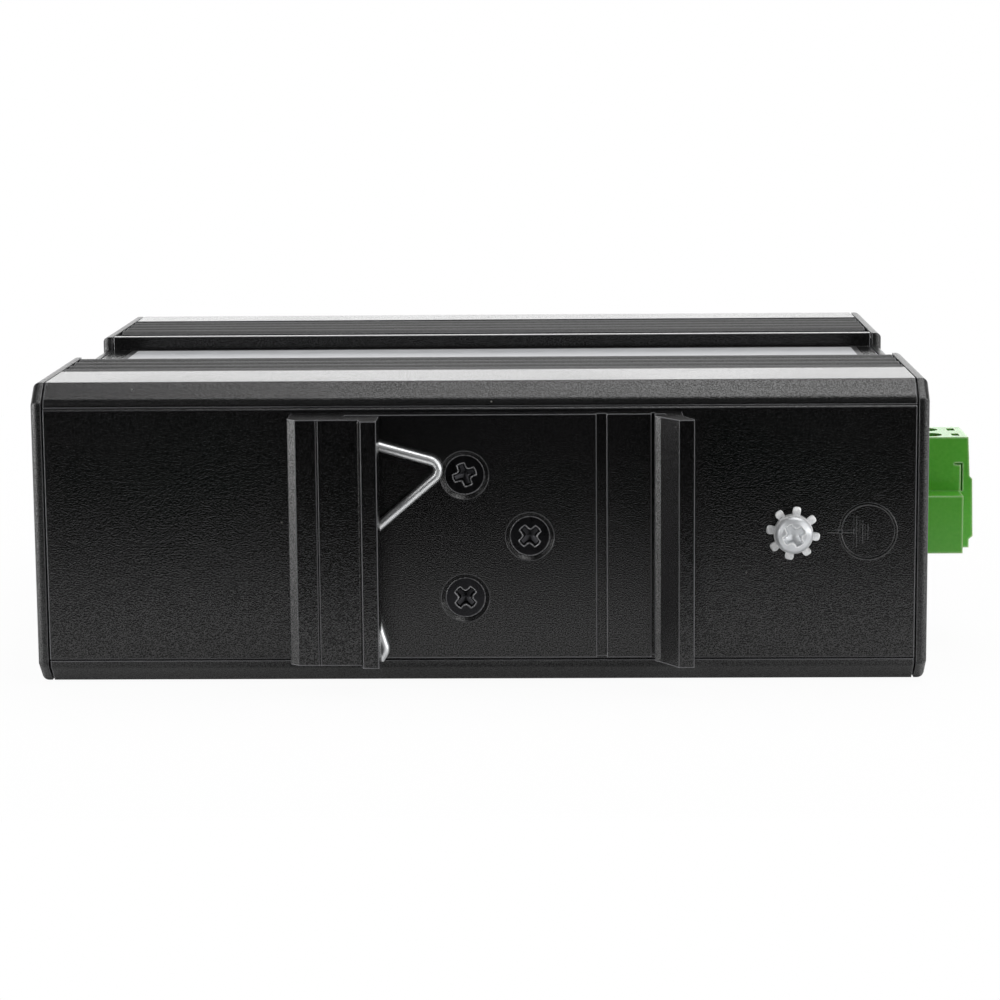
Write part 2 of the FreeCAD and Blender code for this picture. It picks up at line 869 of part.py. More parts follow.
def make_heat_pad():
    """A soft silicone block that carries the chip's heat up to the upper side."""
    foot = package_stand_off + chip_size[2]
    return package(chip_place, (heat_pad_side, heat_pad_side, ceiling - board_top - foot), foot)


def make_transformers():
    """One isolation transformer behind each jack."""
    return [package((x, transformer_y), transformer_size) for x in port_centres()]


def make_capacitors():
    """Two aluminium cans in the power supply, each with a rolled rim."""
    crown = capacitor_radius - capacitor_rim
    shoulder = capacitor_height - capacitor_rim
    outline = [
        (0, 0), (capacitor_radius, 0), (capacitor_radius, shoulder),
        (crown, capacitor_height), (0, capacitor_height),
    ]
    cans = []
    for x, y in capacitor_places:
        can = turned(outline)
        can.translate(Vector(x, y, board_top))
        cans.append(can)
    return cans


def make_inductor():
    """A shielded power inductor with chamfered corners."""
    body = package(inductor_place, inductor_size)
    return body.makeChamfer(inductor_chamfer, upright_edges(body))


def make_crystal():
    """The clock crystal in its round-ended metal can."""
    body = package(crystal_place, crystal_size)
    return body.makeFillet(crystal_corner, upright_edges(body))


def make_power_light():
    """The power light: a clear 3 mm lamp whose narrowed tip stands a little proud of the panel."""
    tip = light_radius - light_tip_chamfer
    shoulder = light_length - light_tip_chamfer
    lamp = turned([
        (0, 0), (light_radius, 0), (light_radius, shoulder), (tip, light_length), (0, light_length),
    ])
    lamp.rotate(Vector(0, 0, 0), Vector(1, 0, 0), -90)
    lamp.translate(Vector(light_x, housing_depth + light_proud - light_length, light_z))
    return lamp


def make_light_holder(lamp):
    """The black block that stands on the board and holds the lamp at the panel."""
    left = light_x - holder_half_width
    right = light_x + holder_half_width
    block = box(left, right, holder_rear, holder_front, board_top, light_z + holder_half_width)
    return block.cut(lamp)


# ---- power header and plug ---------------------------------------------------
def make_header(pins):
    """The header moulding at the board's edge: a shroud for the plug and a screw boss each side."""
    body = box(header_back, header_mouth, plug_near_y, plug_far_y, board_top, header_top)
    cavity_start = header_back + header_wall
    cavity = box(cavity_start, header_mouth, tower_near_y, tower_far_y, header_floor, header_ceiling)
    body = body.cut(cavity)
    for y in flange_ys:
        start = (cavity_start, y, flange_screw_z)
        body = body.cut(rod(flange_screw_radius, start, (header_mouth, y, flange_screw_z)))
    for pin in pins:
        body = body.cut(pin)
    return body


def make_tower():
    """The plug's tall middle: a bulged face over the wire mouths, and a nose that enters the header."""
    low_x, low_z = bulge_low
    high_x, high_z = bulge_high
    outline = [
        (header_mouth, plug_bottom), (plug_reach, plug_bottom), (plug_reach, low_z - bulge_run), bulge_low,
        bulge_high, (plug_reach, high_z + bulge_run), (plug_top_reach, plug_top), (header_mouth, plug_top),
    ]
    tower = prism_y(outline, tower_near_y, tower_far_y)
    nose_near = tower_near_y + nose_gap
    nose_far = tower_far_y - nose_gap
    nose = box(nose_start, header_mouth, nose_near, nose_far, nose_bottom, nose_top)
    return union([tower, nose])


def cut_pole(body, y):
    """Open one pole of the plug: wire mouth, clamp well, screw well, test slot and contact channel."""
    plug_end = bulge_low[0]
    head_well = plug_head_radius + plug_head_gap
    mouth = wire_mouth_half
    test = test_slot_half
    cuts = [
        box(cage_start, cage_end, y - cage_half, y + cage_half, cage_bottom, cage_well_top),
        box(cage_end, plug_end, y - mouth, y + mouth, wire_mouth_bottom, wire_mouth_top),
        bar(nose_start, cage_start, y, socket_half, contact_z),
        rod(clamp_screw_radius, (clamp_x, y, cage_well_top), (clamp_x, y, clamp_head_seat)),
        rod(head_well, (clamp_x, y, clamp_head_seat), (clamp_x, y, plug_top)),
        box(test_slot_start, test_slot_end, y - test, y + test, test_slot_foot, plug_top),
    ]
    return body.cut(cuts)


def cut_latch_slit(body, y0, y1):
    """Cut the stepped slit that frees the plug's latch, between two depths in one side of the tower."""
    left = latch_slit_x - latch_slit_width
    upright = box(left, latch_slit_x, y0, y1, flange_top, latch_slit_z)
    level = box(latch_slit_left, latch_slit_x, y0, y1, latch_slit_z - latch_slit_width, latch_slit_z)
    return body.cut([upright, level])


def make_plug_body():
    """The plug moulding: the tower, its openings, and a flange with a stepped screw hole each side."""
    flange_starts = (plug_near_y, tower_far_y)
    parts = [make_tower()]
    for y in flange_starts:
        parts.append(box(header_mouth, flange_reach, y, y + flange_width, plug_bottom, flange_top))
    body = union(parts)
    head_well = plug_head_radius + plug_head_gap
    for y in flange_ys:
        seat = (flange_head_seat, y, flange_screw_z)
        body = body.cut(rod(flange_screw_radius, (header_mouth, y, flange_screw_z), seat))
        body = body.cut(rod(head_well, seat, (flange_reach, y, flange_screw_z)))
    for y in pole_ys:
        body = cut_pole(body, y)
    body = cut_latch_slit(body, tower_near_y, tower_near_y + latch_slit_depth)
    return cut_latch_slit(body, tower_far_y - latch_slit_depth, tower_far_y)


def make_wire_clamps():
    """The two nickel-plated cages that the clamp screws draw up on the wires."""
    opening_half = cage_half - cage_wall
    opening_bottom = cage_bottom + cage_wall
    cages = []
    for y in pole_ys:
        outer = box(cage_start, cage_end, y - cage_half, y + cage_half, cage_bottom, cage_top)
        near, far = y - opening_half, y + opening_half
        opening = box(cage_start, cage_end, near, far, opening_bottom, clamp_screw_start)
        thread = rod(clamp_screw_radius, (clamp_x, y, clamp_screw_start), (clamp_x, y, cage_top))
        cages.append(outer.cut([opening, thread]))
    return cages


def slotted_screw(shank_radius, shank_length, head_height):
    """A cheese-head screw pointing down -Z with a driver's slot, the underside of its head at z = 0."""
    body = turned([
        (0, head_height), (plug_head_radius, head_height), (plug_head_radius, 0),
        (shank_radius, 0), (shank_radius, -shank_length), (0, -shank_length),
    ])
    half = driver_slot_half
    reach = plug_head_radius
    return body.cut(box(-reach, reach, -half, half, head_height - driver_slot_depth, head_height))


def make_clamp_screws():
    """Slotted clamp screws, seen down the tower's round wells."""
    shank_length = clamp_head_seat - clamp_screw_start
    screws = []
    for y in pole_ys:
        screw = slotted_screw(clamp_screw_radius, shank_length, clamp_head_top - clamp_head_seat)
        screw.translate(Vector(clamp_x, y, clamp_head_seat))
        screws.append(screw)
    return screws


def make_flange_screws():
    """Slotted screws that hold the plug to the header."""
    shank_length = flange_head_seat - flange_screw_start
    screws = []
    for y in flange_ys:
        screw = slotted_screw(flange_screw_radius, shank_length, flange_head_end - flange_head_seat)
        screws.append(facing_end(screw, flange_head_seat, y, flange_screw_z, 1))
    return screws


def make_plug_contacts():
    """Tin-plated sockets that reach from the clamps over the header's pins."""
    contacts = []
    for y in pole_ys:
        sleeve = bar(socket_start, socket_end, y, socket_half, contact_z)
        bore = bar(socket_start, socket_bore_end, y, pin_half, contact_z)
        contacts.append(sleeve.cut(bore))
    return contacts


def make_plug_window():
    """The end plate's stepped window, a little larger than the header and the plug's tower."""
    gap = window_gap
    low = board_top - gap
    wide = box(header_back, plug_reach, plug_near_y - gap, plug_far_y + gap, low, header_top + gap)
    tall = box(header_back, plug_reach, tower_near_y - gap, tower_far_y + gap, low, plug_top + gap)
    return union([wide, tall])


# ---- put the pieces together -------------------------------------------------
upper_side = make_upper_extrusion()
lower_side = upper_side.copy()
lower_side.rotate(Vector(0, housing_depth / 2, mid_z), Vector(0, 1, 0), 180)
nodes["upper_side_extrusion"] = upper_side
nodes["lower_side_extrusion"] = lower_side
nodes["rear_panel"] = make_rear_panel()
nodes["front_panel"] = make_front_panel()
nodes["terminal_end_plate"] = make_end_plate(1).cut(make_plug_window())
nodes["terminal_end_screws"] = Part.makeCompound(make_end_screws(1))
nodes["plain_end_plate"] = make_end_plate(-1)
nodes["plain_end_screws"] = Part.makeCompound(make_end_screws(-1))

nodes["din_rail_bracket"] = make_bracket()
nodes["rail_spring_wire"] = make_spring_wire()
nodes["bracket_screws"] = Part.makeCompound(make_bracket_screws())
earth_screw = pan_head_screw(
    earth_head_radius, earth_head_height, earth_screw_length, earth_screw_turn,
)
nodes["earth_screw"] = facing_rear(earth_screw, earth_screw_x, washer_thickness, mid_z)
nodes["earth_lock_washer"] = facing_rear(make_washer(), earth_screw_x, 0, mid_z)
nodes["type_label"] = make_label()

header_pins = make_header_pins()
nodes["main_circuit_board"] = make_board(header_pins)
nodes["board_standoffs"] = Part.makeCompound(make_pillars())
nodes["board_screws"] = Part.makeCompound(make_board_screws())

for number, port_x in enumerate(port_centres(), start=1):
    nodes[f"port_{number}_shield"] = make_jack_shield(port_x)
    nodes[f"port_{number}_insert"] = make_jack_insert(port_x)
    nodes[f"port_{number}_contacts"] = Part.makeCompound(make_jack_contacts(port_x))
nodes["port_light_pipes"] = Part.makeCompound(make_light_pipes())

nodes["switch_chip"] = make_switch_chip()
nodes["chip_heat_pad"] = make_heat_pad()
nodes["port_transformers"] = Part.makeCompound(make_transformers())
nodes["supply_capacitors"] = Part.makeCompound(make_capacitors())
nodes["supply_inductor"] = make_inductor()
nodes["supply_regulator"] = make_regulator()
nodes["clock_crystal"] = make_crystal()
power_light = make_power_light()
nodes["power_light"] = power_light
nodes["power_light_holder"] = make_light_holder(power_light)

nodes["power_header"] = make_header(header_pins)
nodes["power_header_pins"] = Part.makeCompound(header_pins)
nodes["power_plug_body"] = make_plug_body()
nodes["plug_wire_clamps"] = Part.makeCompound(make_wire_clamps())
nodes["plug_clamp_screws"] = Part.makeCompound(make_clamp_screws())
nodes["plug_contacts"] = Part.makeCompound(make_plug_contacts())
nodes["plug_flange_screws"] = Part.makeCompound(make_flange_screws())

# The row frame's zero is under the middle of the whole object's box.
middle_x = (bulge_low[0] - housing_length / 2) / 2
middle_y = (housing_depth + light_proud - hook_level) / 2
to_row_frame = Vector(-middle_x, -middle_y, 0)

os.makedirs("parts", exist_ok=True)
for name, shape in nodes.items():
    shape.translate(to_row_frame)
    shape.exportStep(f"parts/{name}.step")
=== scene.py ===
import math

import bmesh
import bpy
import numpy as np
from mathutils import Matrix, Vector


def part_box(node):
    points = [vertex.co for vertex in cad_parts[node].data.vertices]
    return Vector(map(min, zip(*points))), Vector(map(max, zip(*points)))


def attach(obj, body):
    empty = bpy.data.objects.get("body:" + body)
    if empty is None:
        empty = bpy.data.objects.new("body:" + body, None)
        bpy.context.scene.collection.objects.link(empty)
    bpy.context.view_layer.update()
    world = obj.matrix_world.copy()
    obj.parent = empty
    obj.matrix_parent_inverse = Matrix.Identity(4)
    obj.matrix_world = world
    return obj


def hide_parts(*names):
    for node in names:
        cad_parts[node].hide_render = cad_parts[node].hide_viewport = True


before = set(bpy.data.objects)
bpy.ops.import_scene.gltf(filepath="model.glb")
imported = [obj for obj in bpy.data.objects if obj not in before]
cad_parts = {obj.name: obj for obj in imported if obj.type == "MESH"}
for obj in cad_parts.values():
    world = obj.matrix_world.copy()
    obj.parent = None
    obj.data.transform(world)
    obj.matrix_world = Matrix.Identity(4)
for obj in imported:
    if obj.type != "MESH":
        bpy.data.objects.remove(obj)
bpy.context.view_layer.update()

# ---- Side extrusions -----------------------------------------------------------
# The two ribbed sides are one aluminium profile, pressed through a die, cut to
# length and turned over for the lower side. They are sprayed with black polyester
# powder and baked, which leaves a hard skin with a fine sandy grain.

MM = 0.001


def linear(hex_colour):
    """Turns an sRGB colour such as "1c1c1e" into linear red, green, blue and alpha."""
    srgb = np.array([int(hex_colour[i:i + 2], 16) for i in (0, 2, 4)]) / 255
    rgb = np.where(srgb <= 0.04045, srgb / 12.92, ((srgb + 0.055) / 1.055) ** 2.4)
    return (*rgb.tolist(), 1.0)


def add(tree, kind, inputs, output=0, **settings):
    """Adds a shader node with its settings and links, and gives back one of its outputs.

    An input is a number, a hex colour or the socket that feeds it. A mix of colours takes its share at 0
    and the two colours at 6 and 7, and gives the mixed colour at 2.
    """
    made = tree.nodes.new("ShaderNode" + kind)
    for name, value in settings.items():
        setattr(made, name, value)
    for name, value in inputs.items():
        if isinstance(value, bpy.types.NodeSocket):
            tree.links.new(value, made.inputs[name])
        else:
            made.inputs[name].default_value = linear(value) if isinstance(value, str) else value
    return made.outputs[output]


def start_finish(name, **constants):
    """A material whose shader has the given constants. Returns it with its tree and shader."""
    material = bpy.data.materials.new(name)
    material.use_nodes = True
    shader = material.node_tree.nodes["Principled BSDF"]
    for socket, value in constants.items():
        shader.inputs[socket.replace("_", " ")].default_value = value
    return material, material.node_tree, shader


def grain(tree, size_mm, detail=2.0, stretch=(1, 1, 1)):
    """Soft random spots of about the given size, from 0 to 1, drawn out along the axes by stretch."""
    place = add(tree, "TexCoord", {}, "Object")
    scale = [1 / (size_mm * MM * s) for s in stretch]
    place = add(tree, "Mapping", {"Vector": place, "Scale": scale})
    return add(tree, "TexNoise", {"Vector": place, "Scale": 1.0, "Detail": detail})


def relief(tree, shader, height, depth_mm, edge_mm):
    """Rounds the sharp edges to edge_mm and raises the surface by up to depth_mm where height is 1."""
    rounded = add(tree, "Bevel", {"Radius": edge_mm * MM}, samples=6)
    inputs = {"Height": height, "Distance": depth_mm * MM, "Strength": 1.0, "Normal": rounded}
    tree.links.new(add(tree, "Bump", inputs), shader.inputs["Normal"])


def edge_highlight_mask(tree, reach_mm):
    """1 along the outward edges and 0 elsewhere, from how much of the body's own surface is close behind.

    On a flat face nothing lies within reach_mm behind a point, and at an edge the face round the corner does.
    An edge highlight is painted where it is 1.
    """
    inputs = {"Distance": reach_mm * MM}
    behind = add(tree, "AmbientOcclusion", inputs, "AO", samples=6, inside=True, only_local=True)
    inputs = {"Value": behind, "From Min": 0.5, "From Max": 0.95, "To Min": 1, "To Max": 0}
    return add(tree, "MapRange", inputs)


def rows(tree, spans):
    """1 where the surface lies within any of the spans along Y, and 0 elsewhere."""
    along_y = add(tree, "SeparateXYZ", {0: add(tree, "TexCoord", {}, "Object")}, "Y")
    total = 0.0
    for start, end in spans:
        after = add(tree, "Math", {0: along_y, 1: start}, operation="GREATER_THAN")
        before = add(tree, "Math", {0: along_y, 1: end}, operation="LESS_THAN")
        inside = add(tree, "Math", {0: after, 1: before}, operation="MULTIPLY")
        total = add(tree, "Math", {0: total, 1: inside}, operation="ADD")
    return total


def textured_powder_coat(base, grain_mm, depth_mm, edge_mm, coarse_rows=(), reach_mm=0.16, dull=0.0):
    """Baked black polyester powder: a pebbled film, glossy in itself, that looks satin from afar.

    Its pebbles are grain_mm wide and depth_mm high, and sharp edges are rounded to edge_mm. Within reach_mm
    of an outward edge a paler colour is painted as an edge highlight. It is dull on the spans in coarse_rows,
    and dull is added to its roughness everywhere else.
    """
    material, tree, shader = start_finish(f"textured black polyester powder coat on {base}", IOR=1.55)
    pebbles = grain(tree, grain_mm)
    # From 0.36 to 0.64 the noise climbs from pit to crown. Pits swallow light, and crowns throw it back.
    inputs = {"Value": pebbles, "From Min": 0.36, "From Max": 0.64, "To Min": 0.25, "To Max": 0.85}
    tree.links.new(add(tree, "MapRange", inputs), shader.inputs["Specular IOR Level"])
    height = add(tree, "MapRange", {"Value": pebbles, "From Min": 0.46, "From Max": 0.66})
    colour = add(tree, "Mix", {0: height, 6: "020202", 7: "101011"}, 2, data_type="RGBA")
    # One in ten of the cells of 2.6 mm holds a pale speck at its middle, which leaves about one speck
    # to every five or six square centimetres.
    place = add(tree, "TexCoord", {}, "Object")
    cells = add(tree, "TexVoronoi", {"Vector": place, "Scale": 1 / (2.6 * MM)}).node.outputs
    drawn = add(tree, "SeparateColor", {"Color": cells["Color"]}, "Red")
    chosen = add(tree, "MapRange", {"Value": drawn, "From Min": 0.9, "From Max": 0.905})
    inputs = {"Value": cells["Distance"], "From Min": 0.02, "From Max": 0.06, "To Min": 0.55, "To Max": 0}
    speck = add(tree, "Math", {0: chosen, 1: add(tree, "MapRange", inputs)}, operation="MULTIPLY")
    colour = add(tree, "Mix", {0: speck, 6: colour, 7: "8d8c88"}, 2, data_type="RGBA")
    # A paler colour is painted along the outward edges as a highlight.
    edges = edge_highlight_mask(tree, reach_mm)
    colour = add(tree, "Mix", {0: edges, 6: colour, 7: "77777a"}, 2, data_type="RGBA")
    tree.links.new(colour, shader.inputs["Base Color"])
    # The gloss wanders a little, in clouds of about 22 mm.
    clouds = grain(tree, 22, detail=3.0)
    roughness = add(tree, "MapRange", {"Value": clouds, "To Min": 0.18 + dull, "To Max": 0.25 + dull})
    if coarse_rows:
        inputs = {"Value": rows(tree, coarse_rows), "To Min": roughness, "To Max": 0.5}
        roughness = add(tree, "MapRange", inputs)
    tree.links.new(roughness, shader.inputs["Roughness"])
    relief(tree, shader, pebbles, depth_mm, edge_mm)
    return material


def dress(material, *names):
    """Gives CAD nodes a finish in place of the plain one that they came with."""
    for name in names:
        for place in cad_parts[name].material_slots:
            place.material = material


rear_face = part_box("rear_panel")[0].y
# The two rows of ribs, in millimetres behind the rear panel's outer face.
rib_spans = ((14.4, 31.6), (63.6, 81.7))
rib_rows = [(rear_face + start * MM, rear_face + end * MM) for start, end in rib_spans]
side_coat = textured_powder_coat(
    "extruded aluminium", grain_mm=0.16, depth_mm=0.03, edge_mm=0.16, coarse_rows=rib_rows,
)
dress(side_coat, "upper_side_extrusion", "lower_side_extrusion")

# ---- Rear and front panels -----------------------------------------------------
# Two flat aluminium plates that slide into the extrusions' slots. The powder lies
# a little thicker on them than on the sides, so that its grain is coarser.

panel_coat = textured_powder_coat("rolled aluminium", grain_mm=0.17, depth_mm=0.04, edge_mm=0.12)
dress(panel_coat, "rear_panel", "front_panel")

# ---- End plates ----------------------------------------------------------------
# Two milled aluminium plates that close the ends and carry four screws each. Their
# coat has the grain of the sides' but is a little duller, over well-rounded edges.

plate_coat = textured_powder_coat(
    "milled aluminium", grain_mm=0.16, depth_mm=0.03, edge_mm=0.3, reach_mm=0.08, dull=0.12,
)
dress(plate_coat, "terminal_end_plate", "plain_end_plate")

# ---- Countersunk screws --------------------------------------------------------
# Cold-headed steel screws with a stamped cross recess, zinc plated and passivated
# black. Three of them hold the rail bracket and four hold each end plate.


def add_surface(name, grids, material, replaces=(), painted_highlight=None):
    """Makes one smooth piece from closed grids of points, and lets it ride on the housing.

    A grid has rings along its first axis and spokes along its second. Each ring is closed, and each quad
    joins two neighbours on a ring with the same two on the next ring. A ring of no size becomes one point.
    The values in painted_highlight, from 0 to 1 at each point, tell the material where a highlight is
    painted.
    """
    points = []
    quads = []
    first = 0
    for grid in grids:
        rings, spokes = grid.shape[:2]
        index = first + np.arange(rings * spokes).reshape(rings, spokes)
        ahead = np.roll(index, -1, axis=1)
        quads.append(np.stack([index[:-1], index[1:], ahead[1:], ahead[:-1]], -1).reshape(-1, 4))
        points.append(grid.reshape(-1, 3))
        first += rings * spokes
    mesh = bpy.data.meshes.new(name)
    mesh.from_pydata(np.concatenate(points).tolist(), [], np.concatenate(quads).tolist())
    if painted_highlight is not None:
        mesh.attributes.new("painted_highlight", "FLOAT", "POINT").data.foreach_set("value", np.concatenate(painted_highlight).ravel())
    work = bmesh.new()
    work.from_mesh(mesh)
    bmesh.ops.remove_doubles(work, verts=work.verts, dist=1e-7)
    work.to_mesh(mesh)
    work.free()
    mesh.shade_smooth()
    mesh.materials.append(material)
    piece = bpy.data.objects.new(name, mesh)
    bpy.context.scene.collection.objects.link(piece)
    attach(piece, "root")
    if replaces:
        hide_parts(*replaces)


def smooth_step(x):
    """Rises from 0 to 1 as x does, level at both ends."""
    x = np.clip(x, 0, 1)
    return x * x * (3 - 2 * x)


def cross_recess(across, up, span, width, depth):
    """How deep a stamped cross lies at points on the head, and how far outside its outline they are.

    Two bars cross: a point's distance outside each is blended by a soft minimum, which rounds the inner
    corners. The walls lean in, and the floor rises from the middle to the ends of the arms.
    """
    softness = 5 / width
    arm_length = span / 2
    wall_width = 0.22 * width
    floor_rise = 0.62
    beside_bars = [np.exp(-softness * (np.abs(line) - width / 2)) for line in (across, up)]
    outside = -np.log(beside_bars[0] + beside_bars[1]) / softness
    radius = np.hypot(across, up)
    outside = np.maximum(outside, radius - arm_length)
    floor = depth * (1 - floor_rise * np.clip(radius / arm_length, 0, 1))
    return floor * smooth_step(0.15 - outside / wall_width), outside


def turned_screw(profile, recess, turn, rim_width=0.06 * MM):
    """A screw about +Z: its profile of radii and heights is spun round, and the recess pressed into its face.

    Between the profile's points it runs straight, with many rings over the face so that the recess is sharp.
    With the screw come the places where a highlight is painted: a fine ring round the recess's mouth, and one
    on the head's rim, just before the widest ring. Each fades on both sides as a bell curve does.
    """
    spokes = 96
    face_rings = 50
    other_rings = 60
    mouth_edge = 0.03 * MM
    mouth_width = 0.07 * MM
    profile = np.array(profile, float)
    steps = np.hypot(*np.diff(profile, axis=0).T)
    along = np.concatenate([[0], np.cumsum(steps)])
    rim_edge = along[np.argmax(profile[:, 0])] - 1.5 * rim_width
    face_end = recess["span"] * 0.56
    over_face = np.linspace(0, face_end, face_rings)
    over_rest = np.linspace(face_end, along[-1], other_rings)[1:]
    places = np.sort(np.concatenate([over_face, over_rest, along[1:-1]]))
    radius = np.interp(places, along, profile[:, 0])
    height = np.interp(places, along, profile[:, 1])
    angle = np.linspace(0, 2 * math.pi, spokes, endpoint=False)[None, :]
    x = radius[:, None] * np.cos(angle)
    y = radius[:, None] * np.sin(angle)
    across = x * math.cos(turn) + y * math.sin(turn)
    up = y * math.cos(turn) - x * math.sin(turn)
    on_face = (places <= face_end)[:, None]
    depth, outside = cross_recess(across, up, **recess)
    z = height[:, None] - np.where(on_face, depth, 0)
    mouth = np.exp(-((outside - mouth_edge) / mouth_width) ** 2) * on_face
    rim = np.exp(-((rim_edge - places) / rim_width) ** 2)[:, None]
    return np.stack([x, y, np.broadcast_to(z, x.shape)], -1), np.maximum(mouth, rim)


def stand(grid, at, outward):
    """Turns a grid drawn about +Z to point outward, and moves its zero to a place."""
    z_axis = Vector(outward).normalized()
    x_axis = Vector((0, 0, 1)).cross(z_axis)
    y_axis = z_axis.cross(x_axis)
    turned = grid @ np.array([x_axis, y_axis, z_axis])
    return turned + np.array(at)


def flat_head_profile(head_radius, length):
    """A flat face with a softly rounded rim, a 45 degree cone and a plain shank.

    The sizes are in millimetres, and the radii and heights that come back are in metres.
    """
    shank_radius = 1.5
    rim = 0.12
    below = head_radius - shank_radius
    points = [
        (0, 0), (head_radius - 2 * rim, 0), (head_radius - rim, -0.02), (head_radius - 0.02, -0.1),
        (head_radius - 0.05, -0.16), (shank_radius, -below - 0.02), (shank_radius, -length), (0, -length),
    ]
    return [(r * MM, z * MM) for r, z in points]


def plated_steel(name, colour, patch_colour, highlight_colour, roughness, metallic=1.0):
    """Plated steel: the thin coat takes on the dull patches of the metal under it.

    The piece's own values named painted_highlight say where a highlight is painted: a pale colour that
    scatters light and isn't metallic.
    """
    material, tree, shader = start_finish(name)
    patches = grain(tree, 1.3, detail=3.0)
    inputs = {"Value": grain(tree, 0.3), "From Min": 0.35, "From Max": 0.6, "To Min": 0.5, "To Max": 1}
    uneven = add(tree, "MapRange", inputs)
    # The piece's own values say where a pale, dull highlight is painted over the plating.
    painted_highlight = add(tree, "Attribute", {}, "Fac", attribute_name="painted_highlight")
    highlight_share = add(tree, "Math", {0: painted_highlight, 1: uneven}, operation="MULTIPLY")
    colour = add(tree, "Mix", {0: patches, 6: colour, 7: patch_colour}, 2, data_type="RGBA")
    colour = add(tree, "Mix", {0: highlight_share, 6: colour, 7: highlight_colour}, 2, data_type="RGBA")
    tree.links.new(colour, shader.inputs["Base Color"])
    metal = add(tree, "MapRange", {"Value": highlight_share, "To Min": metallic, "To Max": 0})
    tree.links.new(metal, shader.inputs["Metallic"])
    inputs = {"Value": patches, "To Min": roughness - 0.06, "To Max": roughness + 0.1}
    tree.links.new(add(tree, "MapRange", inputs), shader.inputs["Roughness"])
    relief(tree, shader, grain(tree, 0.25), 0.003, 0.05)
    return material


phillips = {"span": 2.85 * MM, "width": 0.9 * MM, "depth": 1.15 * MM}
# Pale grey rings are painted as highlights round each head's rim and each recess's mouth.
black_screw_steel = plated_steel("black passivated zinc on steel", "242426", "343436", "a4a4a6", 0.26)


def add_flat_screws(name, node, head_radius, length, stands):
    """Sets flat-head screws in place of a CAD node. A stand is a place, an outward direction and a turn."""
    screws = []
    painted_highlight = []
    for at, outward, turn in stands:
        screw, highlight_share = turned_screw(flat_head_profile(head_radius, length), phillips, turn)
        screws.append(stand(screw, at, outward))
        painted_highlight.append(highlight_share)
    add_surface(name, screws, black_screw_steel, [node], painted_highlight)


# The three bracket screws are centred on the bracket's holes, with their faces 0.43 mm below its web. Each
# has its distance right of and above the housing's middle in millimetres, and its cross's turn in degrees.
housing_middle = (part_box("plain_end_plate")[0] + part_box("terminal_end_plate")[1]) / 2
web_face = rear_face - 2.05 * MM
stands = []
for right, above, degrees in ((-1.72, 7.6, 20), (6.21, 0.0, 42), (-1.72, -7.6, 46)):
    centre = (housing_middle.x + right * MM, web_face + 0.43 * MM, housing_middle.z + above * MM)
    stands.append((centre, (0, -1, 0), math.radians(degrees)))
add_flat_screws("bracket_screw_set", "bracket_screws", 2.55, 5.5, stands)

# The end screws' faces lie 0.15 mm below the plates. Their middles stand one head radius inside the box of
# the CAD screws, and each cross has a turn that follows from its place, so that no two look alike.
end_head = 2.95
for end, outward in (("terminal_end", 1), ("plain_end", -1)):
    low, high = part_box(f"{end}_plate")
    face = (high.x if outward > 0 else low.x) - outward * 0.15 * MM
    low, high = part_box(f"{end}_screws")
    stands = []
    for y in (low.y + end_head * MM, high.y - end_head * MM):
        for z in (low.z + end_head * MM, high.z - end_head * MM):
            stands.append(((face, y, z), (outward, 0, 0), 1700 * (y + 3 * z)))
    add_flat_screws(f"{end}_screw_set", f"{end}_screws", end_head, 9.0, stands)

# ---- Rail bracket --------------------------------------------------------------
# One extruded bracket with a fixed lip on the left, a flat web and a ramped hook on
# the right. It is sawn to length, so that its long edges are crisp, and coated.

bracket_coat = textured_powder_coat("the bracket", grain_mm=0.16, depth_mm=0.035, edge_mm=0.15)
dress(bracket_coat, "din_rail_bracket")

# ---- Spring wire ---------------------------------------------------------------
# A piece of hard-drawn spring steel, 1.2 mm thick, nickel plated and bent cold. It is
# bright, with fine marks left by the drawing die.


def grained_finish(
    name, colours, roughness, grain_mm, depth_mm, edge_mm, detail=2.0, stretch=(1, 1, 1), **constants,
):
    """A finish with one pattern, which carries it from its first colour and roughness to its second.

    The pattern is soft random spots of grain_mm, drawn out by stretch, that stand up to depth_mm high.
    Sharp edges are rounded to edge_mm.
    """
    material, tree, shader = start_finish(name, **constants)
    spots = grain(tree, grain_mm, detail, stretch)
    colour = add(tree, "Mix", {0: spots, 6: colours[0], 7: colours[1]}, 2, data_type="RGBA")
    tree.links.new(colour, shader.inputs["Base Color"])
    inputs = {"Value": spots, "To Min": roughness[0], "To Max": roughness[1]}
    tree.links.new(add(tree, "MapRange", inputs), shader.inputs["Roughness"])
    relief(tree, shader, spots, depth_mm, edge_mm)
    return material


# Bright drawn wire mirrors the light along its round, dulled a little by the die's marks.
drawn_wire = grained_finish(
    "nickel-plated spring steel wire", ("dcdee0", "f0f1f1"), (0.34, 0.44), grain_mm=0.16, depth_mm=0.002,
    edge_mm=0.05, stretch=(6, 1, 6), Metallic=1.0,
)
dress(drawn_wire, "rail_spring_wire")

# ---- Earthing screw and washer -------------------------------------------------
# A pan-head steel screw clamps a toothed washer to the rear panel. Both are zinc
# plated and left bright, with small dents from the driver and from tumbling.

# Near-white, dull rings are painted as highlights on the pan head, and the washer is painted so all over.
bright_zinc = plated_steel("bright zinc on steel", "dcdee0", "c4c7ca", "fafafa", 0.3, 0.45)
low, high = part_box("earth_screw")
earth_x = (low.x + high.x) / 2
earth_z = (low.z + high.z) / 2
